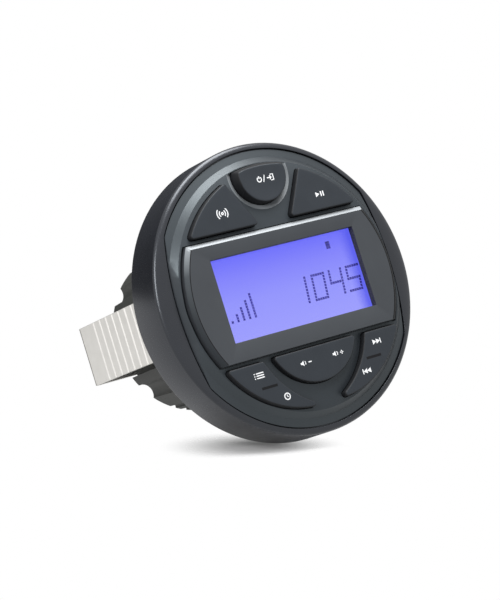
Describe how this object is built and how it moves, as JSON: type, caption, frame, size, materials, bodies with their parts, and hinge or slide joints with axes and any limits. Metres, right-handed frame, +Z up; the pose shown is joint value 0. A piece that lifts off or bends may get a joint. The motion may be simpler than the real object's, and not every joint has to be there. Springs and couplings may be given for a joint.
{
  "type": "digital media receiver",
  "caption": "Round panel-mount digital media receiver with a raised display panel, push keys, rocker keys, a fluted rear housing and a U bracket held by nuts on studs.",
  "frame": {"origin": "centre of the panel collar, in the plane of the bezel's rear face", "axes": "+Y backwards through the panel, so the face looks along -Y; +Z up when the display reads level; +X to the viewer's right"},
  "size_m": [0.1046, 0.1047, 0.1046],
  "materials": {
    "bezel_plastic": "satin moulded",
    "gasket_rubber": "foam rubber",
    "face_plastic": "satin moulded",
    "panel_plastic": "satin moulded",
    "window_clear": "clear acrylic",
    "lcd_blue": "back-lit display",
    "guide_acrylic": "clear acrylic",
    "led_white": "moulded",
    "holder_plastic": "white moulded",
    "key_plastic": "satin moulded",
    "mat_rubber": "silicone",
    "plated_steel": "bright zinc or nickel plate",
    "board_green": "solder mask",
    "socket_plastic": "moulded",
    "capacitor_sleeve": "shrink sleeve",
    "spreader_aluminium": "plain",
    "housing_paint": "dark satin coat on a casting",
    "pin_brass": "plain",
    "bracket_steel": "bright zinc plate"
  },
  "bodies": {
    "receiver": {"bezel_ring": "bezel_plastic", "panel_gasket": "gasket_rubber", "face_plate": "face_plastic", "display_panel": "panel_plastic", "display_window": "window_clear", "lcd_cell": "lcd_blue", "light_guide": "guide_acrylic", "backlight_leds": "led_white", "lcd_holder": "holder_plastic", "keypad_mat": "mat_rubber", "tact_switches": "plated_steel", "front_board": "board_green", "front_board_screws": "plated_steel", "board_header": "socket_plastic", "main_board": "board_green", "tuner_can": "plated_steel", "capacitors": "capacitor_sleeve", "amplifier_chip": "socket_plastic", "heat_spreader": "spreader_aluminium", "rear_housing": "housing_paint", "housing_screws": "plated_steel", "aerial_socket": "plated_steel", "harness_socket": "socket_plastic", "harness_pins": "pin_brass", "mount_studs": "plated_steel"},
    "left_key_body": {"left_key": "key_plastic"},
    "power_key_body": {"power_key": "key_plastic"},
    "right_key_body": {"right_key": "key_plastic"},
    "left_rocker_body": {"left_rocker": "key_plastic"},
    "centre_rocker_body": {"centre_rocker": "key_plastic"},
    "right_rocker_body": {"right_rocker": "key_plastic"},
    "bracket_body": {"u_bracket": "bracket_steel", "washers": "plated_steel"},
    "left_nut_body": {"left_nut": "plated_steel"},
    "right_nut_body": {"right_nut": "plated_steel"}
  },
  "joints": [
    {"name": "left_key_push", "type": "slide", "parent": "receiver", "child": "left_key_body", "axis": [0, 1, 0], "range_m": [0, 0.0006], "stiffness_N_per_m": 2000},
    {"name": "power_key_push", "type": "slide", "parent": "receiver", "child": "power_key_body", "axis": [0, 1, 0], "range_m": [0, 0.0006], "stiffness_N_per_m": 2000},
    {"name": "right_key_push", "type": "slide", "parent": "receiver", "child": "right_key_body", "axis": [0, 1, 0], "range_m": [0, 0.0006], "stiffness_N_per_m": 2000},
    {"name": "left_rocker_tilt", "type": "hinge", "parent": "receiver", "child": "left_rocker_body", "pos_m": [-0.0211, -0.0148, -0.0316], "axis": [1, 0, 0], "range_deg": [-2.5, 2.5], "stiffness_Nm_per_rad": 0.35},
    {"name": "centre_rocker_tilt", "type": "hinge", "parent": "receiver", "child": "centre_rocker_body", "pos_m": [0, -0.0148, -0.0283], "axis": [0, 0, 1], "range_deg": [-2, 2], "stiffness_Nm_per_rad": 0.5},
    {"name": "right_rocker_tilt", "type": "hinge", "parent": "receiver", "child": "right_rocker_body", "pos_m": [0.0211, -0.0148, -0.0316], "axis": [1, 0, 0], "range_deg": [-2.5, 2.5], "stiffness_Nm_per_rad": 0.35},
    {"name": "bracket_slide", "type": "slide", "parent": "receiver", "child": "bracket_body", "axis": [0, 1, 0], "range_m": [-0.0034, 0.01]},
    {"name": "left_nut_turn", "type": "hinge", "parent": "bracket_body", "child": "left_nut_body", "pos_m": [-0.015, 0.0686, 0], "axis": [0, 1, 0], "range_deg": [-1800, 5200]},
    {"name": "right_nut_turn", "type": "hinge", "parent": "bracket_body", "child": "right_nut_body", "pos_m": [0.015, 0.0686, 0], "axis": [0, 1, 0], "range_deg": [-1800, 5200]}
  ],
  "couplings": [
    {"joint": "left_nut_turn", "follows": "bracket_slide", "rad_per_m": 8976},
    {"joint": "right_nut_turn", "follows": "bracket_slide", "rad_per_m": 8976}
  ]
}
